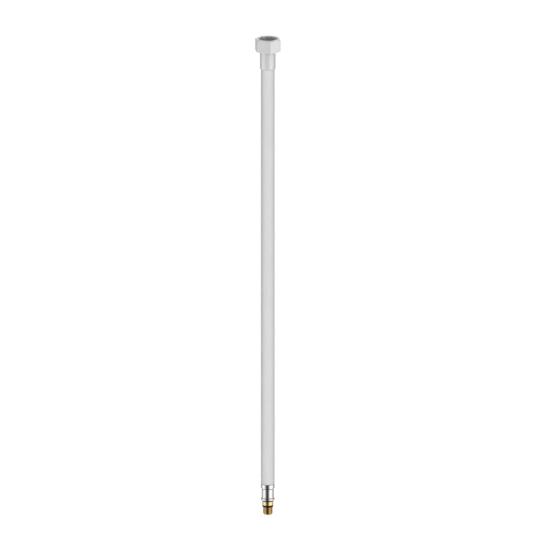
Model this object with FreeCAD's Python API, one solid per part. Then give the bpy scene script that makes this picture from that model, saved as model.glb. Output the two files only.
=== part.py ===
import FreeCAD, Part
import math
import os

# Flexible tap connector hose: a white sheathed, braid-reinforced hose with a brass tap tail
# crimped into its lower end, and a union nut that turns on a flanged tail at its upper end.
# Millimetres. Z is the hose's axis, +Z runs from the tap tail towards the union nut, and z = 0
# is the tip of the tap tail.

# ---- driving dimensions ---------------------------------------------------------------------

OVERALL_LENGTH = 500.0            # tip of the tap tail to the mouth of the union nut

# hose layers, where nothing squeezes them; the inner tube fills what the others leave
HOSE_D = 14.0                     # over the white sheath
SHEATH_WALL = 0.9
BRAID_WALL = 0.55
TUBE_BORE = 8.0

# the outer layers where a crimp squeezes them
SHEATH_WALL_CRIMPED = 0.74
BRAID_WALL_CRIMPED = 0.44

# what both tails have in common
TAIL_BORE = 6.0
STEM_WALL = 0.85
SEAT_STEP = 0.45                  # from the stem up to the seat of the ferrule's end wall
BARB_HEIGHT = 0.4
BARB_PITCH = 3.0
BARB_SLOPE = 1.95                 # length of each barb's slope
STEM_TIP = 0.6                    # plain nose past the last barb
STEM_TIP_CHAMFER = 0.3

# depth of a thread as a share of its pitch: ISO metric male, and parallel pipe thread
METRIC_THREAD_DEPTH = 0.6134
PIPE_THREAD_DEPTH = 0.6403

# tap tail, M10 x 1
TAIL_THREAD_D = 10.0
TAIL_THREAD_PITCH = 1.0
TAIL_THREAD_LENGTH = 7.5
TAIL_THREAD_START = 0.35          # first groove, in the chamfer
TAIL_TIP_CHAMFER = 0.8
COLLAR_D = 11.4
COLLAR_LENGTH = 4.2
COLLAR_EDGE = 0.3                 # chamfer on both rims of the collar
COLLAR_MARK_WIDTH = 0.6           # shallow groove round the middle of the collar
COLLAR_MARK_DEPTH = 0.15

# seals on the tap tail
O_RING_SECTION = 1.8
O_RING_GROOVE_WALL = 0.85         # brass left between the groove and the bore
BACK_RING_THICKNESS = 0.76        # thin black ring between the collar and the ferrule
BACK_RING_SETBACK = 0.35          # how far it lies inside the collar's rim

# crimped ferrules, measured against the hose that they hold
FERRULE_LENGTH = 17.4
UPPER_FERRULE_LENGTH = 14.0
FERRULE_WALL = 0.6
FERRULE_RIM_PROUD = 0.1           # the rim stands this far outside the hose
FERRULE_RIM_LENGTH = 5.0
FERRULE_RIM_EDGE = 0.8            # how far the rim's rounded edges reach along it
FERRULE_RIM_VALLEY = 0.14         # depth of the soft valley round the middle of the rim
FERRULE_WAIST_DEPTH = 0.75        # the crimped waist lies this far inside the hose
FERRULE_FLARE_PROUD = 0.0         # the bead at the tail's side is level with the hose
FERRULE_FLARE_LENGTH = 2.9
FERRULE_FLARE_ROUND = 1.16        # along the axis, from the end face to the bead's widest stretch
FERRULE_FLARE_CREST = 0.44        # length of that stretch
FERRULE_MOUTH_INSET = 1.15        # the round end face stops this far inside the bead

# white cover sleeve over the upper ferrule
SLEEVE_WALL = 0.8
SLEEVE_OVERHANG = 3.38            # how far it reaches past the hidden ferrule
SLEEVE_EDGE = 0.4                 # chamfer on both outer rims
SLEEVE_LIP_THICKNESS = 0.8        # lip that turns in over the end of the hidden ferrule

# union nut, G 1/2 female
NUT_HEIGHT = 13.5
NUT_THREAD_MAJOR_D = 20.955
NUT_THREAD_PITCH = 1.814
NUT_WALL = 1.5225                 # from the bottom of the thread out to the flats
NUT_FACE_SETBACK = 0.3            # the round end faces stop this far inside the flats
NUT_CORNER_CHAMFER = 1.15         # height of the chamfer at the corners
NUT_MOUTH_WIDTH = 0.98            # countersink at the mouth
NUT_MOUTH_DEPTH = 0.6
NUT_LIP_THICKNESS = 2.2           # inner shoulder that pulls on the tail's flange
NUT_LIP_BORE = 14.0

# flange of the tail that the union nut turns on, and its gasket
FLANGE_THICKNESS = 1.3
FLANGE_EDGE = 0.2
GASKET_BORE = 11.0
GASKET_THICKNESS = 2.0

# ---- clearances -----------------------------------------------------------------------------

LAYER_GAP = 0.02                  # between round pieces of one body that lie on each other
SEAT_GAP = 0.02                   # between flat faces of one body that sit on each other
O_RING_SIDE_GAP = 0.05            # beside the O-ring, in its groove
HOSE_END_GAP = 0.3                # between the hose layers' ends and the ferrule's end wall
SLEEVE_GAP = 0.1                  # between the ferrule's rim and the cover sleeve
NECK_GAP = 0.3                    # round the tail's neck, inside the nut's lip
FLANGE_GAP = 0.3155               # round the flange and the gasket, inside the nut's thread
GASKET_GAP = 0.05                 # between the gasket and the flange
THREAD_GAP = 0.1                  # from the resting gasket up to the nut's first thread
NUT_CHAMBER_GAP = 0.1             # from the bottom of the nut's thread out to its smooth chamber
NUT_REST_GAP = 0.10               # between the resting nut and the top of the cover sleeve
NUT_FLOAT = 1.0                   # the loose nut's travel along Z, until its lip meets the flange

# ---- radii that several pieces share --------------------------------------------------------

HOSE_R = HOSE_D / 2
TAIL_BORE_R = TAIL_BORE / 2
STEM_R = TAIL_BORE_R + STEM_WALL
SEAT_R = STEM_R + SEAT_STEP
COLLAR_R = COLLAR_D / 2
NECK_R = NUT_LIP_BORE / 2 - NECK_GAP
NUT_MAJOR_R = NUT_THREAD_MAJOR_D / 2
NUT_MINOR_R = NUT_MAJOR_R - PIPE_THREAD_DEPTH * NUT_THREAD_PITCH
NUT_FLAT_R = NUT_MAJOR_R + NUT_WALL
FLANGE_R = NUT_MINOR_R - FLANGE_GAP
FERRULE_RIM_R = HOSE_R + FERRULE_RIM_PROUD
FERRULE_FLARE_R = HOSE_R + FERRULE_FLARE_PROUD
FERRULE_WAIST_R = HOSE_R - FERRULE_WAIST_DEPTH
FERRULE_MOUTH_R = FERRULE_FLARE_R - FERRULE_MOUTH_INSET
SLEEVE_BORE_R = FERRULE_RIM_R + SLEEVE_GAP

# ---- places along the axis ------------------------------------------------------------------

O_RING_Z = TAIL_THREAD_LENGTH + O_RING_SIDE_GAP + O_RING_SECTION / 2
COLLAR_Z = O_RING_Z + O_RING_SECTION / 2 + O_RING_SIDE_GAP
COLLAR_TOP_Z = COLLAR_Z + COLLAR_LENGTH
FERRULE_Z = COLLAR_TOP_Z + BACK_RING_THICKNESS + 2 * SEAT_GAP
FERRULE_TOP_Z = FERRULE_Z + FERRULE_LENGTH

NUT_Z = OVERALL_LENGTH - NUT_HEIGHT
SLEEVE_TOP_Z = NUT_Z - NUT_REST_GAP
UPPER_FERRULE_TOP_Z = SLEEVE_TOP_Z - SLEEVE_LIP_THICKNESS - SEAT_GAP
UPPER_FERRULE_Z = UPPER_FERRULE_TOP_Z - UPPER_FERRULE_LENGTH
SLEEVE_Z = UPPER_FERRULE_Z - SLEEVE_OVERHANG
FLANGE_Z = NUT_Z + NUT_LIP_THICKNESS + NUT_FLOAT
FLANGE_TOP_Z = FLANGE_Z + FLANGE_THICKNESS
GASKET_Z = FLANGE_TOP_Z + GASKET_GAP
NUT_THREAD_Z = GASKET_Z + GASKET_THICKNESS + THREAD_GAP
NUT_THREAD_TOP_Z = OVERALL_LENGTH - NUT_MOUTH_DEPTH


# ---- helpers --------------------------------------------------------------------------------

def point(r, z):
    return FreeCAD.Vector(r, 0, z)


def turned(outline):
    """Solid turned about Z from a closed outline of (r, z) points.

    A plain point is reached by a straight line. A pair of points is an arc, through the first
    and ending at the second.
    """
    edges = []
    here = outline[0]
    for step in list(outline[1:]) + [outline[0]]:
        if isinstance(step[0], tuple):
            through, end = step
            edges.append(Part.Arc(point(*here), point(*through), point(*end)).toShape())
        else:
            end = step
            edges.append(Part.LineSegment(point(*here), point(*end)).toShape())
        here = end
    solid = Part.Face(Part.Wire(edges)).revolve(FreeCAD.Vector(0, 0, 0), FreeCAD.Vector(0, 0, 1), 360)
    if solid.Volume < 0:
        solid.reverse()
    return solid


def between(upright, other):
    """Middle point of the arc between two points that runs along Z where it meets the first."""
    dr = other[0] - upright[0]
    dz = other[1] - upright[1]
    radius = (dr * dr + dz * dz) / (2 * abs(dr))
    centre_r = upright[0] + math.copysign(radius, dr)
    turn = math.atan2(abs(dz), radius - abs(dr)) / 2
    return (centre_r - math.copysign(radius * math.cos(turn), dr),
            upright[1] + math.copysign(radius * math.sin(turn), dz))


def ring(inner_r, outer_r, z, height):
    """Plain flat ring that stands on z."""
    return turned([(inner_r, z), (outer_r, z), (outer_r, z + height), (inner_r, z + height)])


def thread_grooves(root_r, crest_r, z, pitch, turns):
    """Ring cutters for the grooves of a thread whose first groove starts at z.

    The flanks lean at 30 degrees and leave flat crests an eighth of the pitch wide. The grooves
    are cut from outside when the crest's radius is the larger, and from inside otherwise.
    """
    outwards = 1 if crest_r > root_r else -1
    past_crest = crest_r + 0.3 * outwards
    half_mouth = pitch * 7 / 16
    half_floor = half_mouth - abs(crest_r - root_r) * math.tan(math.radians(30))
    cutters = []
    for index in range(turns):
        middle = z + pitch * (index + 0.5)
        cutters.append(turned([
            (root_r, middle - half_floor), (crest_r, middle - half_mouth),
            (past_crest, middle - half_mouth), (past_crest, middle + half_mouth),
            (crest_r, middle + half_mouth), (root_r, middle + half_floor)]))
    return cutters


def barbed_stem(root_z, direction, ferrule_length):
    """Outline of a barbed stem from its root to its tip, up for direction +1 and down for -1.

    It has as many barbs as the ferrule has room for, and the slopes face the tip.
    """
    room = ferrule_length - FERRULE_WALL - STEM_TIP - LAYER_GAP
    barbs = int(room / BARB_PITCH)
    outline = [(STEM_R, root_z)]
    for index in range(barbs):
        end_z = root_z + direction * BARB_PITCH * (index + 1)
        shoulder_z = end_z - direction * BARB_SLOPE
        outline += [(STEM_R, shoulder_z), (STEM_R + BARB_HEIGHT, shoulder_z), (STEM_R, end_z)]
    tip_z = root_z + direction * (barbs * BARB_PITCH + STEM_TIP)
    outline += [(STEM_R, tip_z - direction * STEM_TIP_CHAMFER),
                (STEM_R - STEM_TIP_CHAMFER, tip_z), (TAIL_BORE_R, tip_z)]
    return outline


def ferrule(end_z, direction, length):
    """Crimped cup: end wall at end_z, then a flared bead, a squeezed waist and an open rim."""
    def at(r, distance):
        return (r, end_z + direction * distance)

    def arc(start, end, upright):
        other = start if upright == end else end
        return (between(upright, other), end)

    wall = FERRULE_WALL
    hole_r = SEAT_R + LAYER_GAP
    neck_r = FERRULE_WAIST_R
    flare_r = FERRULE_FLARE_R
    rim_r = FERRULE_RIM_R
    rim = length - FERRULE_RIM_LENGTH
    swell_r = (flare_r + neck_r) / 2
    crest_end = FERRULE_FLARE_ROUND + FERRULE_FLARE_CREST
    swell = (crest_end + FERRULE_FLARE_LENGTH) / 2
    mouth = at(FERRULE_MOUTH_R, 0)
    flare_start = at(flare_r, FERRULE_FLARE_ROUND)
    flare_end = at(flare_r, crest_end)
    waist_start = at(neck_r, FERRULE_FLARE_LENGTH)
    waist_end = at(neck_r, rim)
    bead_start = at(rim_r, rim + FERRULE_RIM_EDGE)
    valley = at(rim_r - FERRULE_RIM_VALLEY, length - FERRULE_RIM_LENGTH / 2)
    bead_end = at(rim_r, length - FERRULE_RIM_EDGE)
    rim_face = at(rim_r - FERRULE_RIM_EDGE / 2, length)
    return turned([
        at(hole_r, 0), mouth, arc(mouth, flare_start, flare_start), flare_end,
        arc(flare_end, at(swell_r, swell), flare_end),
        arc(at(swell_r, swell), waist_start, waist_start), waist_end,
        arc(waist_end, bead_start, bead_start), arc(bead_start, valley, bead_start),
        arc(valley, bead_end, bead_end), arc(bead_end, rim_face, bead_end),
        at(rim_r - wall, length), at(rim_r - wall, rim + FERRULE_RIM_EDGE),
        at(neck_r - wall, rim), at(neck_r - wall, FERRULE_FLARE_LENGTH),
        at(flare_r - wall, crest_end), at(flare_r - wall, FERRULE_FLARE_ROUND),
        at(FERRULE_MOUTH_R - wall / 2, wall), at(hole_r, wall)])


def hose_layer(waist, rim, free):
    """One layer of the hose, from ferrule to ferrule.

    waist, rim and free are the layer's inner and outer radius under the crimped waist, under the
    ferrule's rim, and between the ferrules. A layer with no waist radii ends inside the rims.
    """
    slope = FERRULE_RIM_EDGE
    lower_rim_z = FERRULE_TOP_Z - FERRULE_RIM_LENGTH
    upper_rim_z = UPPER_FERRULE_Z + FERRULE_RIM_LENGTH
    lower = [(rim, lower_rim_z + slope), (rim, FERRULE_TOP_Z), (free, FERRULE_TOP_Z + slope)]
    upper = [(free, UPPER_FERRULE_Z - slope), (rim, UPPER_FERRULE_Z), (rim, upper_rim_z - slope)]
    if waist:
        end_gap = FERRULE_WALL + HOSE_END_GAP
        lower = [(waist, FERRULE_Z + end_gap), (waist, lower_rim_z)] + lower
        upper = upper + [(waist, upper_rim_z), (waist, UPPER_FERRULE_TOP_Z - end_gap)]
    stations = lower + upper
    inside = [(radii[0], z) for radii, z in stations]
    outside = [(radii[1], z) for radii, z in stations]
    return turned(outside + inside[::-1])


# ---- pieces on the tap tail -----------------------------------------------------------------

def lower_tail():
    """Brass tap tail: male thread, O-ring groove, collar, ferrule seat and barbed stem."""
    thread_r = TAIL_THREAD_D / 2
    root_r = thread_r - METRIC_THREAD_DEPTH * TAIL_THREAD_PITCH
    turns = int((TAIL_THREAD_LENGTH - TAIL_THREAD_START) / TAIL_THREAD_PITCH)
    groove_r = TAIL_BORE_R + O_RING_GROOVE_WALL
    collar_r = COLLAR_R
    mark_z = COLLAR_Z + COLLAR_LENGTH / 2
    half_mark = COLLAR_MARK_WIDTH / 2
    stem_z = FERRULE_Z + FERRULE_WALL
    outline = [
        (TAIL_BORE_R, 0), (thread_r - TAIL_TIP_CHAMFER, 0), (thread_r, TAIL_TIP_CHAMFER),
        (thread_r, TAIL_THREAD_LENGTH), (groove_r, TAIL_THREAD_LENGTH), (groove_r, COLLAR_Z),
        (collar_r - COLLAR_EDGE, COLLAR_Z), (collar_r, COLLAR_Z + COLLAR_EDGE),
        (collar_r, mark_z - half_mark), (collar_r - COLLAR_MARK_DEPTH, mark_z),
        (collar_r, mark_z + half_mark),
        (collar_r, COLLAR_TOP_Z - COLLAR_EDGE), (collar_r - COLLAR_EDGE, COLLAR_TOP_Z),
        (SEAT_R, COLLAR_TOP_Z), (SEAT_R, stem_z)]
    outline += barbed_stem(stem_z, +1, FERRULE_LENGTH)
    body = turned(outline)
    return body.cut(thread_grooves(root_r, thread_r, TAIL_THREAD_START, TAIL_THREAD_PITCH, turns))


def o_ring():
    """Black O-ring in the groove behind the male thread."""
    section_r = O_RING_SECTION / 2
    mean_r = TAIL_BORE_R + O_RING_GROOVE_WALL + LAYER_GAP + section_r
    return Part.makeTorus(mean_r, section_r, FreeCAD.Vector(0, 0, O_RING_Z),
                          FreeCAD.Vector(0, 0, 1))


def back_ring():
    """Thin black ring between the tail's collar and the ferrule."""
    return ring(SEAT_R + LAYER_GAP, COLLAR_R - BACK_RING_SETBACK, COLLAR_TOP_Z + SEAT_GAP,
                BACK_RING_THICKNESS)


def lower_ferrule():
    return ferrule(FERRULE_Z, +1, FERRULE_LENGTH)


# ---- hose -----------------------------------------------------------------------------------

# Inner and outer radii of the layers under the waist, under the rim and in the free hose.
SHEATH_FREE = (HOSE_R - SHEATH_WALL, HOSE_R)
SHEATH_RIM_OUTER_R = FERRULE_RIM_R - FERRULE_WALL - LAYER_GAP
SHEATH_RIM = (SHEATH_RIM_OUTER_R - SHEATH_WALL_CRIMPED, SHEATH_RIM_OUTER_R)
BRAID_FREE = (SHEATH_FREE[0] - LAYER_GAP - BRAID_WALL, SHEATH_FREE[0] - LAYER_GAP)
BRAID_RIM = (SHEATH_RIM[0] - LAYER_GAP - BRAID_WALL_CRIMPED, SHEATH_RIM[0] - LAYER_GAP)
BRAID_WAIST_OUTER_R = FERRULE_WAIST_R - FERRULE_WALL - LAYER_GAP
BRAID_WAIST = (BRAID_WAIST_OUTER_R - BRAID_WALL_CRIMPED, BRAID_WAIST_OUTER_R)
TUBE_FREE = (TUBE_BORE / 2, BRAID_FREE[0] - LAYER_GAP)
TUBE_RIM = (STEM_R + LAYER_GAP, BRAID_RIM[0] - LAYER_GAP)
TUBE_WAIST = (STEM_R + LAYER_GAP, BRAID_WAIST[0] - LAYER_GAP)


def outer_sheath():
    """White smooth sheath. Its ends are held under the ferrules' rims."""
    return hose_layer(None, SHEATH_RIM, SHEATH_FREE)


def braid():
    """Reinforcing braid, as the plain tube that its strands fill."""
    return hose_layer(BRAID_WAIST, BRAID_RIM, BRAID_FREE)


def inner_tube():
    """Rubber tube that carries the water. The barbed stems bite into its ends."""
    return hose_layer(TUBE_WAIST, TUBE_RIM, TUBE_FREE)


# ---- pieces at the union nut ----------------------------------------------------------------

def upper_ferrule():
    return ferrule(UPPER_FERRULE_TOP_Z, -1, UPPER_FERRULE_LENGTH)


def cover_sleeve():
    """White sleeve over the upper ferrule, with a lip turned in over the ferrule's end."""
    inner_r = SLEEVE_BORE_R
    outer_r = inner_r + SLEEVE_WALL
    lip_r = NECK_R + LAYER_GAP
    lip_z = SLEEVE_TOP_Z - SLEEVE_LIP_THICKNESS
    return turned([
        (inner_r, SLEEVE_Z), (outer_r - SLEEVE_EDGE, SLEEVE_Z), (outer_r, SLEEVE_Z + SLEEVE_EDGE),
        (outer_r, SLEEVE_TOP_Z - SLEEVE_EDGE), (outer_r - SLEEVE_EDGE, SLEEVE_TOP_Z),
        (lip_r, SLEEVE_TOP_Z), (lip_r, lip_z), (inner_r, lip_z)])


def upper_tail():
    """Brass tail with the flange that seals on the gasket, a neck for the nut, and a stem."""
    neck_end_z = UPPER_FERRULE_TOP_Z + SEAT_GAP
    stem_z = UPPER_FERRULE_TOP_Z - FERRULE_WALL
    outline = [
        (TAIL_BORE_R, FLANGE_TOP_Z), (FLANGE_R - FLANGE_EDGE, FLANGE_TOP_Z),
        (FLANGE_R, FLANGE_TOP_Z - FLANGE_EDGE), (FLANGE_R, FLANGE_Z + FLANGE_EDGE),
        (FLANGE_R - FLANGE_EDGE, FLANGE_Z), (NECK_R, FLANGE_Z),
        (NECK_R, neck_end_z), (SEAT_R, neck_end_z), (SEAT_R, stem_z)]
    outline += barbed_stem(stem_z, -1, UPPER_FERRULE_LENGTH)
    return turned(outline)


def nut_gasket():
    """Flat black gasket on the flange, inside the nut."""
    return ring(GASKET_BORE / 2, FLANGE_R, GASKET_Z, GASKET_THICKNESS)


def hexagon(flat_r, z, height):
    """Hexagonal prism with a corner on -Y."""
    corner_r = flat_r / math.cos(math.radians(30))
    corners = []
    for index in range(7):
        angle = math.radians(60 * index - 90)
        corners.append(FreeCAD.Vector(corner_r * math.cos(angle), corner_r * math.sin(angle), z))
    return Part.Face(Part.makePolygon(corners)).extrude(FreeCAD.Vector(0, 0, height))


def union_nut():
    """Hexagonal union nut: chamfered corners, countersunk mouth, thread, chamber and lip."""
    top_z = NUT_Z + NUT_HEIGHT
    face_r = NUT_FLAT_R - NUT_FACE_SETBACK
    corner_r = NUT_FLAT_R / math.cos(math.radians(30))
    reach_r = corner_r + 1.0
    reach = NUT_CORNER_CHAMFER / (corner_r - face_r) * (reach_r - face_r)
    envelope = turned([
        (0, NUT_Z), (face_r, NUT_Z), (reach_r, NUT_Z + reach),
        (reach_r, top_z - reach), (face_r, top_z), (0, top_z)])
    mouth_r = NUT_MINOR_R + NUT_MOUTH_WIDTH
    chamber_r = NUT_MAJOR_R + NUT_CHAMBER_GAP
    lip_r = NUT_LIP_BORE / 2
    lip_z = NUT_Z + NUT_LIP_THICKNESS
    bore = turned([
        (0, NUT_Z - 1), (lip_r, NUT_Z - 1), (lip_r, lip_z), (chamber_r, lip_z),
        (chamber_r, NUT_THREAD_Z), (NUT_MINOR_R, NUT_THREAD_Z), (NUT_MINOR_R, NUT_THREAD_TOP_Z),
        (mouth_r, top_z), (mouth_r, top_z + 1), (0, top_z + 1)])
    turns = int((NUT_THREAD_TOP_Z - NUT_THREAD_Z) / NUT_THREAD_PITCH)
    first_groove_z = NUT_THREAD_TOP_Z - turns * NUT_THREAD_PITCH
    grooves = thread_grooves(NUT_MAJOR_R, NUT_MINOR_R, first_groove_z, NUT_THREAD_PITCH, turns)
    block = hexagon(NUT_FLAT_R, NUT_Z, NUT_HEIGHT).common(envelope)
    return block.cut([bore] + grooves)


# ---- build ----------------------------------------------------------------------------------

NODES = {
    "lower_tail": lower_tail,
    "o_ring": o_ring,
    "back_ring": back_ring,
    "lower_ferrule": lower_ferrule,
    "outer_sheath": outer_sheath,
    "braid": braid,
    "inner_tube": inner_tube,
    "upper_ferrule": upper_ferrule,
    "cover_sleeve": cover_sleeve,
    "upper_tail": upper_tail,
    "nut_gasket": nut_gasket,
    "union_nut": union_nut,
}


def main():
    os.makedirs("parts", exist_ok=True)
    for name, make in NODES.items():
        shape = make()
        box = shape.optimalBoundingBox()
        shape.exportStep("parts/" + name + ".step")
        print(f"{name}: {len(shape.Solids)} solid, valid {shape.isValid()}, "
              f"{shape.Volume:.1f} mm3, z {box.ZMin:.2f} to {box.ZMax:.2f}, "
              f"width {box.XLength:.2f}")
    hose_free = UPPER_FERRULE_Z - FERRULE_TOP_Z
    print(f"hose between the ferrules: {hose_free:.1f} mm")


main()
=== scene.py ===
# %% [markdown]
# # A flexible tap connector hose
# This lesson builds the looks of a water hose that joins an angle valve to a mixer tap. The
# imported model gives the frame: each piece's width and ends are read from it, so a new piece can
# only stand where the designed one stands. Walls, bores, threads and roundings, which a box
# can't tell, are named in millimetres where they are first needed. What is left to make is what
# an eye sees: rounded edges, real threads, a soft sheath and the finish of each material.

# %% The frame
import math

import bmesh
import bpy
from mathutils import Matrix, Vector


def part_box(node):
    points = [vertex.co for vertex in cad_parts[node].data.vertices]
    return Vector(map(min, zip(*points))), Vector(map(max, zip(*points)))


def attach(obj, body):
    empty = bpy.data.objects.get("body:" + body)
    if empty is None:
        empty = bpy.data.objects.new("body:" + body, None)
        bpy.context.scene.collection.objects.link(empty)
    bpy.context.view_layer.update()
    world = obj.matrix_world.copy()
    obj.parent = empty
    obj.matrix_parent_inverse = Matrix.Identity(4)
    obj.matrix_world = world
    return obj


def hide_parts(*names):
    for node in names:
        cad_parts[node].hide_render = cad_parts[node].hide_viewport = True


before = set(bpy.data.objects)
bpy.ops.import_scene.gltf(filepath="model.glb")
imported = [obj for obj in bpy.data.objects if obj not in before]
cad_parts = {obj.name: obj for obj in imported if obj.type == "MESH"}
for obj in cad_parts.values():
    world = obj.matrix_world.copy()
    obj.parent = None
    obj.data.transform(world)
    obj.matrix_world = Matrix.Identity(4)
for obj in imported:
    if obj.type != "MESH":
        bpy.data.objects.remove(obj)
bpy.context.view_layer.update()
MM = 0.001


def span(node):
    """A node's outer radius, foot and top, in millimetres."""
    low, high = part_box(node)
    return high[0] / MM, low[2] / MM, high[2] / MM


# %% [markdown]
# The camera looks at the hose from slightly above, and a little from one side, so that one
# corner of the nut stands just right of the middle. A long lens would show nearly the same, but
# an orthographic camera keeps the hose exactly as wide at its foot as at its top. Its view is
# VIEW_WIDTH metres wide, so its distance changes nothing, as long as it is clear of the hose.

# %% The camera
CAMERA_AZIMUTH = math.radians(-10.4)
CAMERA_ELEVATION = math.radians(14.3)
CAMERA_DISTANCE = 3.0
VIEW_WIDTH = 0.5432
LOOK_AT = Vector((-0.0013, 0.0002, 0.2601))


def towards(azimuth, elevation):
    """Direction from the object to a place round it. Azimuth 0 is in front, on the -Y side."""
    level = math.cos(elevation)
    return Vector((math.sin(azimuth) * level, -math.cos(azimuth) * level, math.sin(elevation)))


camera_data = bpy.data.cameras.new("camera")
camera_data.type = "ORTHO"
camera_data.ortho_scale = VIEW_WIDTH
camera = bpy.data.objects.new("camera", camera_data)
bpy.context.scene.collection.objects.link(camera)
camera_from = towards(CAMERA_AZIMUTH, CAMERA_ELEVATION)
camera.location = LOOK_AT + camera_from * CAMERA_DISTANCE
camera.rotation_euler = (-camera_from).to_track_quat("-Z", "Y").to_euler()
bpy.context.scene.camera = camera
print("camera at", [round(c, 3) for c in camera.location])

# %% [markdown]
# A turned part starts as an outline: half of its section, as points that give a radius and a
# height. Real edges are never sharp, so a point may also carry a rounding. The outline's
# corners are beveled while it is still a wire, which makes true arcs, and one spin turns it
# round the axis, as a lathe would. A Screw modifier could do the same, but an operator leaves
# a finished mesh that the next steps can go on with.

# %% Helpers for turned parts
AROUND = 96
ARC_STEPS = 5
ORIGIN = (0.0, 0.0, 0.0)
UP = (0.0, 0.0, 1.0)
WELD = 0.002 * MM


def wire_outline(bm, outline, closed):
    """Adds an outline of (radius, height, rounding) points in millimetres as a wire."""
    verts = [bm.verts.new((point[0] * MM, 0.0, point[1] * MM)) for point in outline]
    ends = verts[1:] + verts[:1] if closed else verts[1:]
    edges = [bm.edges.new(pair) for pair in zip(verts, ends)]
    roundings = {}
    for vert, point in zip(verts, outline):
        if len(point) > 2:
            roundings.setdefault(point[2], []).append(vert)
    made = set(verts)
    for size, corners in sorted(roundings.items()):
        result = bmesh.ops.bevel(bm, geom=corners, offset=size * MM, offset_type="OFFSET",
                                 affect="VERTICES", segments=ARC_STEPS, profile=0.5, material=-1)
        made.update(result["verts"])
    made = {vert for vert in made if vert.is_valid}
    return list(made), list({edge for vert in made for edge in vert.link_edges})


def turn(bm, outline, closed=True, steps=AROUND):
    """Turns an outline round the axis. An open outline leaves a rim at each end."""
    verts, edges = wire_outline(bm, outline, closed)
    bmesh.ops.spin(bm, geom=verts + edges, cent=ORIGIN, axis=UP, dvec=ORIGIN, angle=math.tau,
                   steps=steps, use_merge=True, use_normal_flip=False, use_duplicate=False)
    bmesh.ops.remove_doubles(bm, verts=bm.verts[:], dist=WELD)


def finished(bm, name, sharp_over=34):
    """Makes the mesh object: welded, faces pointing outwards, smooth but for real edges."""
    bmesh.ops.remove_doubles(bm, verts=bm.verts[:], dist=WELD)
    bmesh.ops.recalc_face_normals(bm, faces=bm.faces[:])
    open_edges = sum(1 for edge in bm.edges if not edge.is_manifold)
    mesh = bpy.data.meshes.new(name)
    bm.to_mesh(mesh)
    bm.free()
    mesh.shade_smooth()
    mesh.set_sharp_from_angle(angle=math.radians(sharp_over))
    piece = bpy.data.objects.new(name, mesh)
    bpy.context.scene.collection.objects.link(piece)
    low, high = piece.bound_box[0], piece.bound_box[6]
    print(name, len(mesh.polygons), "faces,", open_edges, "open edges, mm",
          [round(c / MM, 2) for c in low], [round(c / MM, 2) for c in high])
    return piece


def turned_piece(name, outline):
    """A whole piece from one closed outline."""
    bm = bmesh.new()
    turn(bm, outline)
    return finished(bm, name)


# %% [markdown]
# The hose itself comes first, because everything else holds on to it. A white sheath is
# extruded over the braid, and the ferrules' rims squeeze its two ends. Its route is one smooth
# curve, here a straight one, because the hose is stretched out. The tube's rings stand at the
# heights of the points that the curve gives. It can be turned round the axis only because the
# route is straight: a bent hose would be swept along the curve instead.

# %% The hose's measures and route
SHEATH_WALL = 0.9
SQUEEZED_WALL = 0.74
FERRULE_WALL = 0.6
LAYER_GAP = 0.02
SWELL = 0.8
RING_MARGIN = 3
RIM_R, FERRULE_FOOT, FERRULE_TOP = span("lower_ferrule")
NUT_FERRULE_FOOT, NUT_FERRULE_TOP = span("upper_ferrule")[1:]
HOSE_R, SHEATH_FOOT, SHEATH_TOP = span("outer_sheath")
SQUEEZED_R = RIM_R - FERRULE_WALL - LAYER_GAP


def smooth_line(points):
    """The points along the smooth curve that has these control points."""
    curve = bpy.data.curves.new("route", "CURVE")
    curve.dimensions = "3D"
    spline = curve.splines.new("NURBS")
    spline.points.add(len(points) - 1)
    for place, point in zip(spline.points, points):
        place.co = (*point, 1.0)
    spline.order_u = 3
    spline.use_endpoint_u = True
    route = bpy.data.objects.new("route", curve)
    mesh = bpy.data.meshes.new_from_object(route)
    line = [vert.co.copy() for vert in mesh.vertices]
    bpy.data.meshes.remove(mesh)
    bpy.data.objects.remove(route)
    bpy.data.curves.remove(curve)
    return line


hose_middle = (SHEATH_FOOT + SHEATH_TOP) / 2
hose_line = smooth_line([
    (0, 0, SHEATH_FOOT * MM), (0, 0, hose_middle * MM), (0, 0, SHEATH_TOP * MM)])
hose_length = sum((b - a).length for a, b in zip(hose_line, hose_line[1:]))
print("hose line", len(hose_line), "points, length m", round(hose_length, 4))

# %% [markdown]
# The sheath's outline runs up the outside and back down the inside. Where a ferrule squeezes it,
# it is narrower and its wall is thinner, and it swells back to its free width within a millimetre.

# %% The white sheath
lowest_ring = FERRULE_TOP + RING_MARGIN
highest_ring = NUT_FERRULE_FOOT - RING_MARGIN
ring_heights = [point.z / MM for point in hose_line if lowest_ring < point.z / MM < highest_ring]
free_inner_r = HOSE_R - SHEATH_WALL
squeezed_inner_r = SQUEEZED_R - SQUEEZED_WALL
sheath = turned_piece("white_sheath", [
    (SQUEEZED_R, SHEATH_FOOT, 0.1), (SQUEEZED_R, FERRULE_TOP, 0.35),
    (HOSE_R, FERRULE_TOP + SWELL, 0.45)]
    + [(HOSE_R, height) for height in ring_heights]
    + [(HOSE_R, NUT_FERRULE_FOOT - SWELL, 0.45), (SQUEEZED_R, NUT_FERRULE_FOOT, 0.35),
       (SQUEEZED_R, SHEATH_TOP, 0.1), (squeezed_inner_r, SHEATH_TOP),
       (squeezed_inner_r, NUT_FERRULE_FOOT), (free_inner_r, NUT_FERRULE_FOOT - SWELL),
       (free_inner_r, FERRULE_TOP + SWELL), (squeezed_inner_r, FERRULE_TOP),
       (squeezed_inner_r, SHEATH_FOOT)])

# %% [markdown]
# A screw thread is one tooth of outline, spun round the axis while it also climbs. The spin
# operator does that with its dvec, the climb of each step. One tooth is exactly one pitch tall,
# so each turn lands on the one below and the two weld. Planes then cut the thread to length,
# and each wavy cut is bridged to the round edge next to it, as a real thread runs out.

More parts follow.
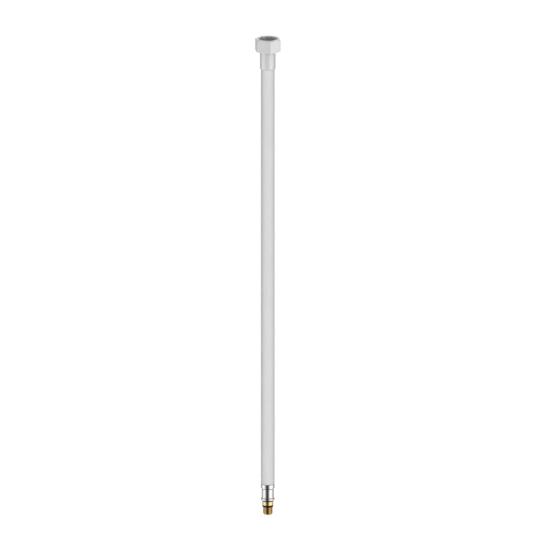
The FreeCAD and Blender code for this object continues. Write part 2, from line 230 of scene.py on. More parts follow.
# %% Helpers for threads
THREAD_STEPS = 72
FLANK_LEAN = math.radians(30)
SPARE_TURNS = 2
CUT_SLACK = 1e-7
LEVEL_SLACK = 0.002
RADIUS_SLACK = 0.02


def screw_thread(bm, crest_r, root_r, pitch, foot, top):
    """Adds a right-handed thread surface from foot to top, in millimetres."""
    flank = abs(crest_r - root_r) * math.tan(FLANK_LEAN)
    crest = pitch / 8
    start = foot - SPARE_TURNS * pitch
    tooth = [(crest_r, 0.0), (crest_r, crest), (root_r, crest + flank), (root_r, pitch - flank),
             (crest_r, pitch)]
    turns = math.ceil((top - foot) / pitch) + SPARE_TURNS + 1
    verts = [bm.verts.new((r * MM, 0.0, (start + height) * MM)) for r, height in tooth]
    edges = [bm.edges.new(pair) for pair in zip(verts, verts[1:])]
    bmesh.ops.spin(bm, geom=verts + edges, cent=ORIGIN, axis=UP,
                   dvec=(0.0, 0.0, pitch * MM / THREAD_STEPS), angle=math.tau * turns,
                   steps=THREAD_STEPS * turns, use_merge=False, use_normal_flip=False,
                   use_duplicate=False)
    bmesh.ops.remove_doubles(bm, verts=bm.verts[:], dist=WELD)
    for height, above in ((foot, True), (top, False)):
        bmesh.ops.bisect_plane(bm, geom=bm.verts[:] + bm.edges[:] + bm.faces[:],
                               dist=CUT_SLACK, plane_co=(0, 0, height * MM), plane_no=UP,
                               clear_inner=above, clear_outer=not above)


def rim(bm, height, widest, narrowest=0.0):
    """The open edges at a height whose radius lies between two values, in millimetres."""
    def fits(vert):
        radius = vert.co.to_2d().length / MM
        level = abs(vert.co.z / MM - height) < LEVEL_SLACK
        return level and narrowest - RADIUS_SLACK < radius < widest + RADIUS_SLACK

    return [edge for edge in bm.edges if (edge.is_boundary or edge.is_wire)
            and all(fits(vert) for vert in edge.verts)]


def add_bmesh(bm, other):
    """Moves another bmesh's geometry into this one."""
    carrier = bpy.data.meshes.new("carrier")
    other.to_mesh(carrier)
    other.free()
    bm.from_mesh(carrier)
    bpy.data.meshes.remove(carrier)


# %% [markdown]
# The tap tail is turned brass: a short M10 x 1 male thread with a chamfered tip, a groove for
# the O-ring, a collar with one shallow turned line round it and, hidden in the hose, a barbed
# stem that the rubber tube can be pushed onto but not pulled off. A bump map could fake the
# thread, but its outline shows against the light, so it is cut as a real helix.

# %% The tap tail's measures
TAIL_BORE_R = 3.0
STEM_R = 3.85
SEAT_R = 4.3
BARB_HEIGHT = 0.4
BARB_PITCH = 3.0
BARB_SLOPE = 1.95
STEM_NOSE = 0.6


def barbed_stem(root, direction, reach):
    """Outline of a stem from its root to its tip; each barb slopes towards the tip."""
    barbs = int((reach - FERRULE_WALL - STEM_NOSE) / BARB_PITCH)
    outline = [(STEM_R, root)]
    for index in range(barbs):
        end = root + direction * BARB_PITCH * (index + 1)
        shoulder = end - direction * BARB_SLOPE
        outline += [(STEM_R, shoulder), (STEM_R + BARB_HEIGHT, shoulder, 0.05), (STEM_R, end)]
    tip = root + direction * (barbs * BARB_PITCH + STEM_NOSE)
    return outline + [(STEM_R, tip, 0.25), (TAIL_BORE_R, tip, 0.1)]


COLLAR_R, TAIL_FOOT = span("lower_tail")[:2]
O_RING_R, O_RING_FOOT, O_RING_TOP = span("o_ring")
BACK_RING_R, BACK_RING_FOOT, BACK_RING_TOP = span("back_ring")
TAP_THREAD_R = 5.0
TAP_THREAD_PITCH = 1.0
TAP_THREAD_DEPTH = 0.6134
TIP_CHAMFER = 0.8
O_RING_PLAY = 0.05
TAP_THREAD_TOP = O_RING_FOOT - O_RING_PLAY
COLLAR_FOOT = O_RING_TOP + O_RING_PLAY
COLLAR_TOP = BACK_RING_FOOT - LAYER_GAP
COLLAR_MIDDLE = (COLLAR_FOOT + COLLAR_TOP) / 2
COLLAR_LINE_HALF = 0.3
COLLAR_LINE_DEPTH = 0.15

# %% [markdown]
# The thread is cut first. The rest of the tail is one open outline, from the top of the thread
# up the outside, down through the bore and round the tip. Its two ends are then bridged to the
# thread's two cuts, which closes the mesh.

# %% The tap tail's mesh
bm = bmesh.new()
screw_thread(bm, TAP_THREAD_R, TAP_THREAD_R - TAP_THREAD_DEPTH, TAP_THREAD_PITCH, TIP_CHAMFER,
             TAP_THREAD_TOP)
shank = bmesh.new()
turn(shank, [
    (STEM_R, TAP_THREAD_TOP), (STEM_R, COLLAR_FOOT, 0.1), (COLLAR_R - 0.4, COLLAR_FOOT, 0.1),
    (COLLAR_R, COLLAR_FOOT + 0.6, 0.2), (COLLAR_R, COLLAR_MIDDLE - COLLAR_LINE_HALF, 0.08),
    (COLLAR_R - COLLAR_LINE_DEPTH, COLLAR_MIDDLE, 0.08),
    (COLLAR_R, COLLAR_MIDDLE + COLLAR_LINE_HALF, 0.08), (COLLAR_R, COLLAR_TOP, 0.3),
    (SEAT_R, COLLAR_TOP), (SEAT_R, FERRULE_FOOT + FERRULE_WALL)]
    + barbed_stem(FERRULE_FOOT + FERRULE_WALL, +1, FERRULE_TOP - FERRULE_FOOT)
    + [(TAIL_BORE_R, TAIL_FOOT, 0.2), (TAP_THREAD_R - TIP_CHAMFER, TAIL_FOOT)],
    closed=False, steps=THREAD_STEPS)
add_bmesh(bm, shank)
for cut, edge in (
        (rim(bm, TIP_CHAMFER, TAP_THREAD_R), rim(bm, TAIL_FOOT, TAP_THREAD_R)),
        (rim(bm, TAP_THREAD_TOP, TAP_THREAD_R, STEM_R + 0.1), rim(bm, TAP_THREAD_TOP, STEM_R))):
    bmesh.ops.bridge_loops(bm, edges=cut + edge)
tap_tail = finished(bm, "brass_tap_tail")

# %% [markdown]
# Two black rings sit on the tap tail. The O-ring is a plain ring of round rubber cord that
# seals in the tap. The flat one lies between the collar and the ferrule. Both are moulded, so
# even the flat one has soft edges. A round section is a circle turned round the axis.

# %% The O-ring and the flat ring behind the collar
O_RING_STEPS = 28
o_ring_section_r = (O_RING_TOP - O_RING_FOOT) / 2
bm = bmesh.new()
made = bmesh.ops.create_circle(bm, cap_ends=False, radius=o_ring_section_r * MM,
                               segments=O_RING_STEPS)
bmesh.ops.rotate(bm, verts=made["verts"], cent=ORIGIN,
                 matrix=Matrix.Rotation(math.radians(90), 3, "X"))
bmesh.ops.translate(bm, verts=made["verts"], vec=(
    (O_RING_R - o_ring_section_r) * MM, 0.0, (O_RING_TOP + O_RING_FOOT) / 2 * MM))
bmesh.ops.spin(bm, geom=bm.verts[:] + bm.edges[:], cent=ORIGIN, axis=UP, dvec=ORIGIN,
               angle=math.tau, steps=AROUND, use_merge=True, use_normal_flip=False,
               use_duplicate=False)
o_ring = finished(bm, "rubber_o_ring")
back_ring = turned_piece("rubber_back_ring", [
    (SEAT_R + LAYER_GAP, BACK_RING_FOOT), (BACK_RING_R, BACK_RING_FOOT, 0.15),
    (BACK_RING_R, BACK_RING_TOP, 0.15), (SEAT_R + LAYER_GAP, BACK_RING_TOP)])

# %% [markdown]
# A ferrule is a thin cup of chromed brass, pressed onto the hose by jaws that close all round.
# The jaws leave a long squeezed waist. At the tail's side the metal swells into a bead with a
# rounded shoulder, and at the hose's side it keeps its width as a rim with a soft valley. All
# of this is one outline, so one function turns both ferrules, the second upside down.

# %% The two ferrules
BEAD_R = 7.0
WAIST_R = 6.25
RIM_LENGTH = 5.0
RIM_VALLEY = 0.14


def ferrule(name, end, direction, length):
    """A crimped cup, from its end wall along the hose."""
    def at(radius, distance, rounding=None):
        place = (radius, end + direction * distance)
        return place if rounding is None else place + (rounding,)

    waist_end = length - RIM_LENGTH
    wall_and_bead = [
        at(SEAT_R + LAYER_GAP, 0), at(5.72, 0, 0.1), at(6.55, 0.3, 0.15), at(BEAD_R, 0.95, 0.35),
        at(BEAD_R, 2.3, 0.3), at(6.7, 2.7, 0.15)]
    waist = [at(WAIST_R, 3.0, 0.3), at(WAIST_R, waist_end - 0.3, 0.2)]
    rim_and_mouth = [
        at(RIM_R - 0.12, waist_end + 0.7, 0.15), at(RIM_R, waist_end + 1.15, 0.2),
        at(RIM_R - RIM_VALLEY, length - RIM_LENGTH / 2, 1.2), at(RIM_R, length - 0.85, 0.3),
        at(RIM_R - 0.1, length - 0.3, 0.2), at(RIM_R - 0.42, length, 0.1),
        at(SQUEEZED_R + LAYER_GAP, length, 0.06)]
    inside = [
        at(SQUEEZED_R + LAYER_GAP, waist_end + 0.8), at(WAIST_R - FERRULE_WALL, waist_end),
        at(WAIST_R - FERRULE_WALL, 2.9), at(BEAD_R - FERRULE_WALL, 1.6),
        at(BEAD_R - FERRULE_WALL, 1.16), at(5.55, FERRULE_WALL),
        at(SEAT_R + LAYER_GAP, FERRULE_WALL)]
    return turned_piece(name, wall_and_bead + waist + rim_and_mouth + inside)


tap_ferrule = ferrule("chromed_tap_ferrule", FERRULE_FOOT, +1, FERRULE_TOP - FERRULE_FOOT)
nut_ferrule = ferrule("chromed_nut_ferrule", NUT_FERRULE_TOP, -1,
                      NUT_FERRULE_TOP - NUT_FERRULE_FOOT)

# %% [markdown]
# At the other end a second brass tail carries the union nut. Its flange presses the flat
# gasket against the valve, its neck passes through the nut, and its barbed stem is the tap
# tail's stem turned over. The gasket lies loose on the flange.

# %% The nut's tail and the gasket
FLANGE_R, _, FLANGE_TOP = span("upper_tail")
GASKET_R, GASKET_FOOT, GASKET_TOP = span("nut_gasket")
FLANGE_THICKNESS = 1.3
NECK_R = 6.7
GASKET_BORE_R = 5.5
flange_foot = FLANGE_TOP - FLANGE_THICKNESS
nut_tail = turned_piece("brass_nut_tail", [
    (TAIL_BORE_R, FLANGE_TOP, 0.2), (FLANGE_R, FLANGE_TOP, 0.2), (FLANGE_R, flange_foot, 0.2),
    (NECK_R, flange_foot, 0.1), (NECK_R, NUT_FERRULE_TOP + LAYER_GAP),
    (SEAT_R, NUT_FERRULE_TOP + LAYER_GAP), (SEAT_R, NUT_FERRULE_TOP - FERRULE_WALL)]
    + barbed_stem(NUT_FERRULE_TOP - FERRULE_WALL, -1, NUT_FERRULE_TOP - NUT_FERRULE_FOOT))
gasket = turned_piece("rubber_gasket", [
    (GASKET_BORE_R, GASKET_FOOT, 0.12), (GASKET_R, GASKET_FOOT, 0.12),
    (GASKET_R, GASKET_TOP, 0.12), (GASKET_BORE_R, GASKET_TOP, 0.12)])

# %% [markdown]
# The cover sleeve hides the upper ferrule. It is moulded in white plastic, with a chamfer on
# both outer rims that the mould has softened, and a lip at its top that turns in over the
# ferrule's end.

# %% The cover sleeve
SLEEVE_R, SLEEVE_FOOT, SLEEVE_TOP = span("cover_sleeve")
SLEEVE_BORE_R = 7.2
SLEEVE_CHAMFER = 0.4
sleeve_lip_r = NECK_R + LAYER_GAP
sleeve_lip_foot = SLEEVE_TOP - 0.8
sleeve = turned_piece("white_cover_sleeve", [
    (SLEEVE_BORE_R, SLEEVE_FOOT, 0.1), (SLEEVE_R - SLEEVE_CHAMFER, SLEEVE_FOOT, 0.1),
    (SLEEVE_R, SLEEVE_FOOT + SLEEVE_CHAMFER, 0.22), (SLEEVE_R, SLEEVE_TOP - SLEEVE_CHAMFER, 0.22),
    (SLEEVE_R - SLEEVE_CHAMFER, SLEEVE_TOP, 0.1), (sleeve_lip_r, SLEEVE_TOP, 0.1),
    (sleeve_lip_r, sleeve_lip_foot), (SLEEVE_BORE_R, sleeve_lip_foot)])

# %% [markdown]
# The union nut is a forged brass hexagon under white enamel. Its end faces are turned, which
# cuts the corners back along a cone, so the top and foot of each flat end in a curve. The nut
# starts as a circle of six, gets its corners rounded and its flats divided, and then grows
# ring by ring. Setting each vertex's height from its own radius gives the cone's curve.

# %% The nut's measures
NUT_FLAT_R, NUT_FOOT, NUT_TOP = span("union_nut")
CORNER_PLAY = 0.002
NUT_CORNER_R = -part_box("union_nut")[0][1] / MM - CORNER_PLAY
NUT_CORNER_ROUNDING = 0.5
FLAT_CUTS = 13
NUT_FACE_R = NUT_FLAT_R - 0.3
NUT_CONE_DEPTH = 1.15
NUT_THREAD_R = 10.4775
NUT_THREAD_PITCH = 1.814
PIPE_THREAD_DEPTH = 0.6403
NUT_THREAD_CREST_R = NUT_THREAD_R - PIPE_THREAD_DEPTH * NUT_THREAD_PITCH
NUT_MOUTH_R = NUT_THREAD_CREST_R + 1.2
NUT_THREAD_TOP = NUT_TOP - 0.6
NUT_THREAD_FOOT = GASKET_TOP + 0.1
NUT_CHAMBER_R = NUT_THREAD_R + 0.1
NUT_LIP_R = 7.0
NUT_LIP_TOP = NUT_FOOT + 2.17
print("nut's crests at radius", round(NUT_THREAD_CREST_R, 3), "mouth", round(NUT_MOUTH_R, 3))

# %% [markdown]
# The first helper knows how deep the turned cone cuts at a vertex: nothing at the end face's
# edge, and all of its depth at a corner. The second pulls a new ring of faces out of a loop of
# edges, as the E key does in the editor, and gives back the new ring's outer loop.

# %% Helpers for the nut
def cone_depth(vert):
    """How far the turned cone cuts down at this vertex, in metres."""
    past_face = vert.co.to_2d().length - NUT_FACE_R * MM
    return NUT_CONE_DEPTH * past_face / (NUT_CORNER_R - NUT_FACE_R)


def grow(bm, loop, height, radius=None):
    """Extrudes a loop of edges to a height, and to a radius if one is given. In millimetres."""
    made = bmesh.ops.extrude_edge_only(bm, edges=loop)["geom"]
    verts = {item for item in made if isinstance(item, bmesh.types.BMVert)}
    for vert in verts:
        vert.co.z = height * MM
        if radius is not None:
            vert.co.xy = vert.co.xy.normalized() * radius * MM
    return [item for item in made if isinstance(item, bmesh.types.BMEdge)
            and all(vert in verts for vert in item.verts)]


def loop_verts(loop):
    """All the vertices of a loop of edges."""
    return {vert for edge in loop for vert in edge.verts}


# %% [markdown]
# The six sides come first, with a rounded corner between each two. Then the mouth and the foot
# grow inwards: the end face, the lip that hooks behind the tail's flange, and the plain chamber
# over it. Enamel is thick on an edge, so the outer edges get a small rounding last.

# %% The nut's outside, lip and chamber
body = bmesh.new()
bmesh.ops.create_circle(body, cap_ends=False, radius=NUT_CORNER_R * MM, segments=6)
first_corner = body.verts[:][0].co
corner_turn = math.radians(-90) - math.atan2(first_corner.y, first_corner.x)
bmesh.ops.rotate(body, verts=body.verts[:], cent=ORIGIN,
                 matrix=Matrix.Rotation(corner_turn, 3, "Z"))
bmesh.ops.bevel(body, geom=body.verts[:], offset=NUT_CORNER_ROUNDING * MM, offset_type="OFFSET",
                affect="VERTICES", segments=4, profile=0.5, material=-1)
flats = [edge for edge in body.edges if edge.calc_length() > NUT_FLAT_R / 2 * MM]
bmesh.ops.subdivide_edges(body, edges=flats, cuts=FLAT_CUTS)
lower_loop = body.edges[:]
upper_loop = grow(body, lower_loop, NUT_TOP)
for vert in loop_verts(lower_loop):
    vert.co.z = NUT_FOOT * MM + cone_depth(vert)
for vert in loop_verts(upper_loop):
    vert.co.z = NUT_TOP * MM - cone_depth(vert)
upper_face = grow(body, upper_loop, NUT_TOP, NUT_FACE_R)
mouth_loop = grow(body, upper_face, NUT_TOP, NUT_MOUTH_R)
lower_face = grow(body, lower_loop, NUT_FOOT, NUT_FACE_R)
lip_foot = grow(body, lower_face, NUT_FOOT, NUT_LIP_R)
lip_top = grow(body, lip_foot, NUT_LIP_TOP, NUT_LIP_R)
chamber_foot = grow(body, lip_top, NUT_LIP_TOP, NUT_CHAMBER_R)
grow(body, chamber_foot, NUT_THREAD_FOOT, NUT_CHAMBER_R)
bmesh.ops.recalc_face_normals(body, faces=body.faces[:])
for loops, rounding in ((upper_loop + lower_loop, 0.12), (upper_face + lower_face, 0.06)):
    bmesh.ops.bevel(body, geom=[edge for edge in loops if edge.is_valid], offset=rounding * MM,
                    offset_type="OFFSET", affect="EDGES", segments=3, profile=0.5, material=-1)
print("nut without its thread", len(body.faces), "faces")

# %% [markdown]
# The thread is cut as the tap tail's was, with its crests pointing inwards. Its top is bridged
# to the mouth and its foot to the chamber.

# %% The nut's thread
bm = bmesh.new()
screw_thread(bm, NUT_THREAD_CREST_R, NUT_THREAD_R, NUT_THREAD_PITCH, NUT_THREAD_FOOT,
             NUT_THREAD_TOP)
add_bmesh(bm, body)
for cut, edge in (
        (rim(bm, NUT_THREAD_TOP, NUT_THREAD_R), rim(bm, NUT_TOP, NUT_MOUTH_R)),
        (rim(bm, NUT_THREAD_FOOT, NUT_THREAD_R),
         rim(bm, NUT_THREAD_FOOT, NUT_CHAMBER_R, NUT_CHAMBER_R - 0.03))):
    bmesh.ops.bridge_loops(bm, edges=cut + edge)
nut = finished(bm, "enamelled_union_nut", sharp_over=28)

# %% [markdown]
# Every finish below is named for its real material. Colours are the ones that a paint card
# would give, as sRGB hex values, and one function turns them into the linear numbers that
# Blender's sockets take. One more small function adds a node with its settings and links.

# %% Helpers for colours and nodes
def linear(colour):
    """An sRGB hex colour as linear red, green, blue and a full alpha."""
    channels = [int(colour[i:i + 2], 16) / 255 for i in (1, 3, 5)]
    return [c / 12.92 if c <= 0.04045 else ((c + 0.055) / 1.055) ** 2.4 for c in channels] + [1.0]


def add_node(tree, kind, settings=(), links=()):
    """Adds a node. Settings are its own attributes or its sockets' values."""
    node = tree.nodes.new(kind)
    for key, value in dict(settings).items():
        if isinstance(key, str) and hasattr(node, key):
            setattr(node, key, value)
        else:
            node.inputs[key].default_value = value
    for key, source in dict(links).items():
        tree.links.new(source, node.inputs[key])
    return node


# %% [markdown]
# A finish starts with its shader. Noise then makes it uneven: in its colour, in its roughness
# and as bump, each at its own size. A pattern is scaled by a real size in millimetres, so the
# same helper serves an even grain and, with three sizes, lines that run one way.

# %% Helpers for finishes
def new_finish(name, colour, metallic, roughness, settings=()):
    """A material with one shader, and the object's own coordinates for its patterns."""
    material = bpy.data.materials.new(name)
    material.use_nodes = True
    tree = material.node_tree
    shader = next(node for node in tree.nodes if node.type == "BSDF_PRINCIPLED")
    shader.inputs["Base Color"].default_value = linear(colour)
    shader.inputs["Metallic"].default_value = metallic
    shader.inputs["Roughness"].default_value = roughness
    for key, value in dict(settings).items():
        shader.inputs[key].default_value = value
    place = add_node(tree, "ShaderNodeTexCoord").outputs["Object"]
    return material, tree, shader, place


def cloud(tree, place, size, detail=2.0):
    """Noise whose cells have this size in millimetres: one number, or one for each axis."""
    sizes = size if isinstance(size, tuple) else (size, size, size)
    scaled = add_node(tree, "ShaderNodeMapping", {"Scale": [1 / (MM * s) for s in sizes]},
                      {"Vector": place})
    return add_node(tree, "ShaderNodeTexNoise", {"Scale": 1.0, "Detail": detail},
                    {"Vector": scaled.outputs["Vector"]}).outputs["Fac"]


def between(tree, factor, low, high):
    """Spreads a pattern's middle range over low to high."""
    return add_node(tree, "ShaderNodeMapRange", {"From Min": 0.3, "From Max": 0.7, "To Min": low,
                                                 "To Max": high}, {"Value": factor}).outputs[0]


def mixed(tree, factor, colour, other):
    """A colour between two. Each is a hex colour or another node's output."""
    mix = add_node(tree, "ShaderNodeMix", {"data_type": "RGBA"}, {0: factor})
    for socket, value in ((6, colour), (7, other)):
        if isinstance(value, str):
            mix.inputs[socket].default_value = linear(value)
        else:
            tree.links.new(value, mix.inputs[socket])
    return mix.outputs[2]


def tinted(tree, pattern, colour, other):
    """A colour that drifts between two, for unevenness that the eye feels more than sees."""
    return mixed(tree, between(tree, pattern, 0.0, 1.0), colour, other)


def raised(tree, shader, height, depth):
    """Lets a pattern stand this many millimetres out of the surface."""
    bump = add_node(tree, "ShaderNodeBump", {"Strength": 1.0, "Distance": depth * MM},
                    {"Height": height})
    tree.links.new(bump.outputs["Normal"], shader.inputs["Normal"])


# %% [markdown]
# The sheath is soft PVC, extruded over the braid. Its surface is smooth and satin, with very
# faint draw lines along the hose and a slow unevenness of thickness.

# %% Extruded PVC
pvc, tree, shader, place = new_finish("extruded_soft_pvc", "#e2e2e2", 0.0, 0.55, {"IOR": 1.5})
tree.links.new(tinted(tree, cloud(tree, place, (9.0, 9.0, 30.0)), "#e1e1e1", "#e4e4e4"),
               shader.inputs["Base Color"])
draw_lines = cloud(tree, place, (0.7, 0.7, 90.0), 3.0)
tree.links.new(between(tree, cloud(tree, place, (4.0, 4.0, 14.0)), 0.52, 0.6),
               shader.inputs["Roughness"])
raised(tree, shader, draw_lines, 0.004)

# %% [markdown]
# The sleeve is moulded in a harder plastic. It is shinier than the sheath, with the faint
# grain that a spark-cut mould leaves. Real grain is about 0.05 mm across and would not show,
# so it is drawn ten times as coarse.

# %% Moulded plastic
moulded, tree, shader, place = new_finish("moulded_abs", "#d9d9d9", 0.0, 0.22,
                                         {"IOR": 1.6, "Specular IOR Level": 0.7,
                                          "Coat Weight": 1.0, "Coat IOR": 1.7,
                                          "Coat Roughness": 0.36})
tree.links.new(tinted(tree, cloud(tree, place, 6.0), "#d8d8d8", "#dbdbdb"),
               shader.inputs["Base Color"])
tree.links.new(between(tree, cloud(tree, place, 2.5), 0.2, 0.25), shader.inputs["Roughness"])
raised(tree, shader, cloud(tree, place, 0.5, 3.0), 0.0006)

# %% [markdown]
# Enamel on brass is thick enough to round every edge, and dries with a slight orange peel of
# about 1.5 mm. The clear gloss on top is a coat over the white.

# %% White enamel
enamel, tree, shader, place = new_finish("white_enamel_on_brass", "#d6d6d6", 0.0, 0.22,
                                         {"IOR": 1.6, "Specular IOR Level": 0.7,
                                          "Coat Weight": 1.0, "Coat IOR": 1.7,
                                          "Coat Roughness": 0.12})
tree.links.new(tinted(tree, cloud(tree, place, 5.0), "#d5d5d5", "#d8d8d8"),
               shader.inputs["Base Color"])
tree.links.new(between(tree, cloud(tree, place, 3.0), 0.2, 0.25), shader.inputs["Roughness"])
raised(tree, shader, cloud(tree, place, 1.5, 2.0), 0.002)

# %% [markdown]
# Inside, the nut is bare. A tap cuts the thread after the enamel has dried, and nickel plate
# keeps the bare metal grey. The tool leaves fine lines round the axis.

# %% Nickel-plated thread
nickel, tree, shader, place = new_finish("nickel_plated_thread", "#e2e0dc", 1.0, 0.62)
tree.links.new(tinted(tree, cloud(tree, place, 1.2, 3.0), "#dddcda", "#e8e7e5"),
               shader.inputs["Base Color"])
raised(tree, shader, cloud(tree, place, (20.0, 20.0, 0.12), 2.0), 0.002)

# %% [markdown]
# Chrome plate on the ferrules is almost a mirror. Handling leaves it a little uneven, and the
# polish runs round the cup.

# %% Chrome plate
chrome, tree, shader, place = new_finish("chrome_plate", "#c1c1c1", 1.0, 0.07)
tree.links.new(between(tree, cloud(tree, place, 1.6, 4.0), 0.05, 0.1),
               shader.inputs["Roughness"])
raised(tree, shader, cloud(tree, place, (30.0, 30.0, 0.4), 2.0), 0.0008)

# %% [markdown]
# The tails are turned from bright brass bar. The tool leaves fine rings, really about 0.05 mm
# apart and drawn at 0.25 mm, and the metal has darkened a little in patches. Below the top of
# the tap's thread the colour is deeper up to the O-ring's groove: painted shade of the thread's
# grooves. A thin clear lacquer keeps the brass bright.

# %% Turned brass
brass, tree, shader, place = new_finish("turned_brass", "#dab87c", 1.0, 0.14,
                                        {"Coat Weight": 1.0, "Coat IOR": 1.5,
                                         "Coat Roughness": 0.08})
above_tip = add_node(tree, "ShaderNodeSeparateXYZ", (), {"Vector": place}).outputs["Z"]
thread_shade_mask = add_node(tree, "ShaderNodeMapRange", {
    "From Min": TAP_THREAD_TOP * MM, "From Max": (TAP_THREAD_TOP - 0.3) * MM},
    {"Value": above_tip}).outputs[0]
bright = tinted(tree, cloud(tree, place, 1.8, 4.0), "#d5b276", "#dfbe84")
# A deeper brass on the thread, below its top: painted shade of the grooves, not a colour of the
# metal.
painted_thread_shade = tinted(tree, cloud(tree, place, 0.8, 4.0), "#ab8c52", "#ba9d64")
tree.links.new(mixed(tree, thread_shade_mask, bright, painted_thread_shade), shader.inputs["Base Color"])
tree.links.new(between(tree, cloud(tree, place, 0.9, 3.0), 0.12, 0.22),
               shader.inputs["Roughness"])
raised(tree, shader, cloud(tree, place, (25.0, 25.0, 0.25), 2.0), 0.002)

# %% [markdown]
# The seals are black nitrile rubber, moulded, so satin where they are clean and greyer where
# talc or bloom has stayed.

# %% Nitrile rubber
rubber, tree, shader, place = new_finish("black_nitrile_rubber", "#121213", 0.0, 0.5,
                                         {"IOR": 1.5, "Specular IOR Level": 0.2})
tree.links.new(tinted(tree, cloud(tree, place, 1.1, 4.0), "#0e0e0f", "#19191a"),
               shader.inputs["Base Color"])
tree.links.new(between(tree, cloud(tree, place, 0.8, 3.0), 0.42, 0.62),
               shader.inputs["Roughness"])
raised(tree, shader, cloud(tree, place, 0.35, 2.0), 0.004)

# %% [markdown]
# Two parts stay as they were designed, because the sheath hides them: the rubber tube that
# carries the water, with faint extrusion lines, and the braid round it. The braid's bundles
# of stainless wire cross at a fixed angle. A pattern of the angle round the hose and the
# height draws both directions, and each bundle rises where it passes over another.

# %% Rubber tube and braid
tube_rubber, tree, shader, place = new_finish("epdm_tube_rubber", "#202021", 0.0, 0.66)
raised(tree, shader, cloud(tree, place, (0.5, 0.5, 40.0), 2.0), 0.01)

BRAID_BUNDLES = 12
BRAID_LAY = 24.0
wire, tree, shader, place = new_finish("woven_stainless_wire", "#c4c4c6", 1.0, 0.3)
axes = add_node(tree, "ShaderNodeSeparateXYZ", (), {"Vector": place})
around = add_node(tree, "ShaderNodeMath", {"operation": "ARCTAN2"},
                  {0: axes.outputs["Y"], 1: axes.outputs["X"]}).outputs[0]
bundles = add_node(tree, "ShaderNodeMath", {"operation": "MULTIPLY", 1: BRAID_BUNDLES},
                   {0: around}).outputs[0]
climb = add_node(tree, "ShaderNodeMath",
                 {"operation": "MULTIPLY", 1: math.tau * BRAID_BUNDLES / (BRAID_LAY * MM)},
                 {0: axes.outputs["Z"]}).outputs[0]
waves = []
for direction in ("ADD", "SUBTRACT"):
    phase = add_node(tree, "ShaderNodeMath", {"operation": direction}, {0: bundles, 1: climb})
    waves.append(add_node(tree, "ShaderNodeMath", {"operation": "SINE"},
                          {0: phase.outputs[0]}).outputs[0])
weave = add_node(tree, "ShaderNodeMath", {"operation": "MULTIPLY"}, {0: waves[0], 1: waves[1]})
tree.links.new(between(tree, weave.outputs[0], 0.25, 0.4), shader.inputs["Roughness"])
raised(tree, shader, weave.outputs[0], 0.2)

# %% [markdown]
# Now each piece gets its finish and the body that it moves with, and the designed node that it
# stands for is hidden. The table also names that node's material slot, which nothing reads. The
# nut has two finishes: its faces inside the thread and below are bare metal.

# %% Pieces, bodies and finishes
for piece, body_name, node, slot_name, finish in (
        (sheath, "hose", "outer_sheath", "sheath_plastic", pvc),
        (tap_tail, "hose", "lower_tail", "brass", brass),
        (o_ring, "hose", "o_ring", "seal_rubber", rubber),
        (back_ring, "hose", "back_ring", "seal_rubber", rubber),
        (tap_ferrule, "hose", "lower_ferrule", "chrome", chrome),
        (nut_ferrule, "hose", "upper_ferrule", "chrome", chrome),
        (nut_tail, "hose", "upper_tail", "brass", brass),
        (sleeve, "hose", "cover_sleeve", "sleeve_plastic", moulded),
        (gasket, "gasket", "nut_gasket", "seal_rubber", rubber),
        (nut, "nut", "union_nut", "nut_enamel", enamel)):
    piece.data.materials.append(finish)
    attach(piece, body_name)
    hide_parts(node)

nut.data.materials.append(nickel)
bare_faces = 0
for face in nut.data.polygons:
    radius, height = face.center.to_2d().length / MM, face.center.z / MM
    if radius < NUT_CHAMBER_R + 0.01 and NUT_FOOT + 0.12 < height < NUT_THREAD_TOP:
        face.material_index = 1
        bare_faces += 1
print("bare faces in the nut", bare_faces)

for node, finish in (("inner_tube", tube_rubber), ("braid", wire)):
    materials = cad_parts[node].data.materials
    materials.clear()
    materials.append(finish)

# %% [markdown]
# The hose stands on a white light table, as small goods do in a catalogue: the table glows, so
# it takes no shadow, and it is hidden from reflections and from matt surfaces, so that only the
# studio round it lights the hose. What the lens sees past the table is plain white. Polished
# parts mirror two tall softboxes with a dark gap between them, and a dimmer room behind. Matt
# surfaces get a soft light that is strongest in front.

# %% The light table
TABLE_HALF_WIDTH = 9.0
WHITE_GLOW = 1.02
bm = bmesh.new()
bmesh.ops.create_grid(bm, x_segments=1, y_segments=1, size=TABLE_HALF_WIDTH)
table_mesh = bpy.data.meshes.new("light_table")
bm.to_mesh(table_mesh)
bm.free()
table = bpy.data.objects.new("light_table", table_mesh)
bpy.context.scene.collection.objects.link(table)
table.visible_glossy = False
table.visible_diffuse = False
glow = bpy.data.materials.new("glowing_white_acrylic")
glow.use_nodes = True
glow.node_tree.nodes.clear()
lit = add_node(glow.node_tree, "ShaderNodeEmission",
               {"Color": linear("#ffffff"), "Strength": WHITE_GLOW})
add_node(glow.node_tree, "ShaderNodeOutputMaterial", (), {"Surface": lit.outputs[0]})
table_mesh.materials.append(glow)

# %% [markdown]
# The studio is painted on the world. Its brightness depends on the direction only, through the
# angle round the hose and the height, so it stays put when the camera moves. Angles are counted
# in degrees from the main camera's side, and a stop gives the brightness there.

# %% The studio's measures
SOFTBOXES = [(-180, 0.8), (-150, 0.62), (-132, 0.48), (-120, 0.53), (-100, 1.32), (-80, 1.84),
             (-62, 1.8), (-44, 0.92), (-25, 0.16), (-10, 0.04), (0, 0.07), (13, 0.33),
             (32, 1.42), (48, 2.0), (62, 1.8), (72, 1.4), (81, 2.25), (87, 1.7), (100, 0.75),
             (138, 0.54), (152, 0.8), (180, 0.8)]
SOFT_LIGHT = [(-180, 0.95), (-150, 0.75), (-115, 0.12), (-75, 0.0), (-50, 0.15), (-33, 1.3),
              (-12, 2.05), (6, 1.55), (26, 0.42), (55, 0.4), (90, 0.6), (120, 0.75),
              (150, 0.85), (180, 0.95)]
BRIGHTEST = 2.5
DARK_CEILING = 0.1
DARK_FLOOR = 0.06
BRIGHT_CEILING = 1.2
TO_DARK_FLOOR = (-0.8, -0.95)
TO_DARK_CEILING = (0.42, 0.7)
TO_BRIGHT_CEILING = (0.7, 0.95)

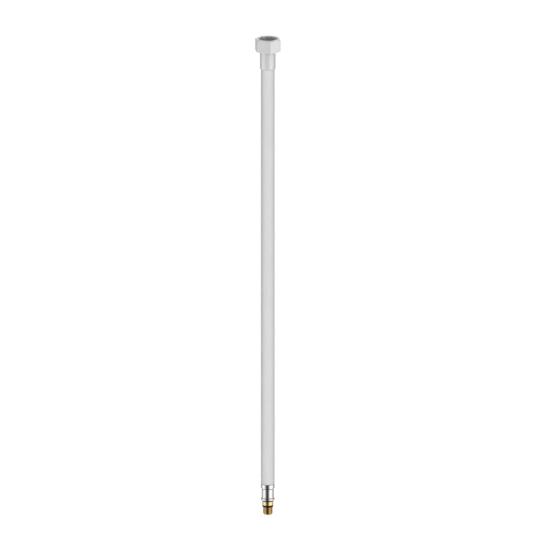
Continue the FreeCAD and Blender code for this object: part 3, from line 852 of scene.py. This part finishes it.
# %% [markdown]
# A direction is a point on a sphere round the hose, whose radius is 1. Its angle round the axis
# picks a place on a colour ramp, which holds the stops. Its height, from -1 to 1, fades that
# towards the ceiling or the floor.

# %% Directions in the studio
world = bpy.data.worlds.new("studio")
bpy.context.scene.world = world
world.use_nodes = True
tree = world.node_tree
tree.nodes.clear()
direction = add_node(tree, "ShaderNodeTexCoord").outputs["Generated"]
axes = add_node(tree, "ShaderNodeSeparateXYZ", (), {"Vector": direction})
backwards = add_node(tree, "ShaderNodeMath", {"operation": "MULTIPLY", 1: -1.0},
                     {0: axes.outputs["Y"]}).outputs[0]
turned_by = add_node(tree, "ShaderNodeMath", {"operation": "ARCTAN2"},
                     {0: axes.outputs["X"], 1: backwards}).outputs[0]
seen_from_lens = add_node(tree, "ShaderNodeMath", {"operation": "SUBTRACT", 1: CAMERA_AZIMUTH},
                          {0: turned_by}).outputs[0]
share = add_node(tree, "ShaderNodeMapRange", {"From Min": -math.pi, "From Max": math.pi},
                 {"Value": seen_from_lens}).outputs[0]
height = axes.outputs["Z"]


def panorama(stops):
    """Brightness round the horizon, from (degrees, brightness) stops."""
    ramp = add_node(tree, "ShaderNodeValToRGB", (), {"Fac": share})
    elements = ramp.color_ramp.elements
    while len(elements) < len(stops):
        elements.new(0.5)
    for element, (degrees, value) in zip(elements, stops):
        element.position = degrees / 360 + 0.5
        element.color = (value / BRIGHTEST,) * 3 + (1.0,)
    return add_node(tree, "ShaderNodeMath", {"operation": "MULTIPLY", 1: BRIGHTEST},
                    {0: ramp.outputs["Color"]}).outputs[0]


def beyond(value, edge, full, base, other):
    """Goes from one brightness to another as a direction's height passes from edge to full."""
    blend = add_node(tree, "ShaderNodeMapRange", {
        "interpolation_type": "SMOOTHSTEP", "From Min": edge, "From Max": full},
        {"Value": value})
    mix = add_node(tree, "ShaderNodeMix", {"data_type": "FLOAT", 3: other},
                   {0: blend.outputs[0], 2: base})
    return mix.outputs[0]


# %% [markdown]
# The light path tells the kinds of ray apart. A reflection meets the softboxes under a dark
# ceiling, a matt surface meets the soft light under a bright one, and the lens meets white.

# %% The studio's light
above_floor = beyond(height, *TO_DARK_FLOOR, panorama(SOFTBOXES), DARK_FLOOR)
reflected = beyond(height, *TO_DARK_CEILING, above_floor, DARK_CEILING)
soft_light = beyond(height, *TO_BRIGHT_CEILING, panorama(SOFT_LIGHT), BRIGHT_CEILING)
rays = add_node(tree, "ShaderNodeLightPath")
lighting = add_node(tree, "ShaderNodeMix", {"data_type": "FLOAT"},
                    {0: rays.outputs["Is Glossy Ray"], 2: soft_light, 3: reflected}).outputs[0]
seen = add_node(tree, "ShaderNodeMix", {"data_type": "FLOAT", 3: WHITE_GLOW},
                {0: rays.outputs["Is Camera Ray"], 2: lighting}).outputs[0]
shade = add_node(tree, "ShaderNodeBackground", {"Color": linear("#ffffff")},
                 {"Strength": seen})
add_node(tree, "ShaderNodeOutputWorld", (), {"Surface": shade.outputs[0]})
print("studio nodes", len(tree.nodes))
bpy.context.scene.view_settings.view_transform = "Standard"
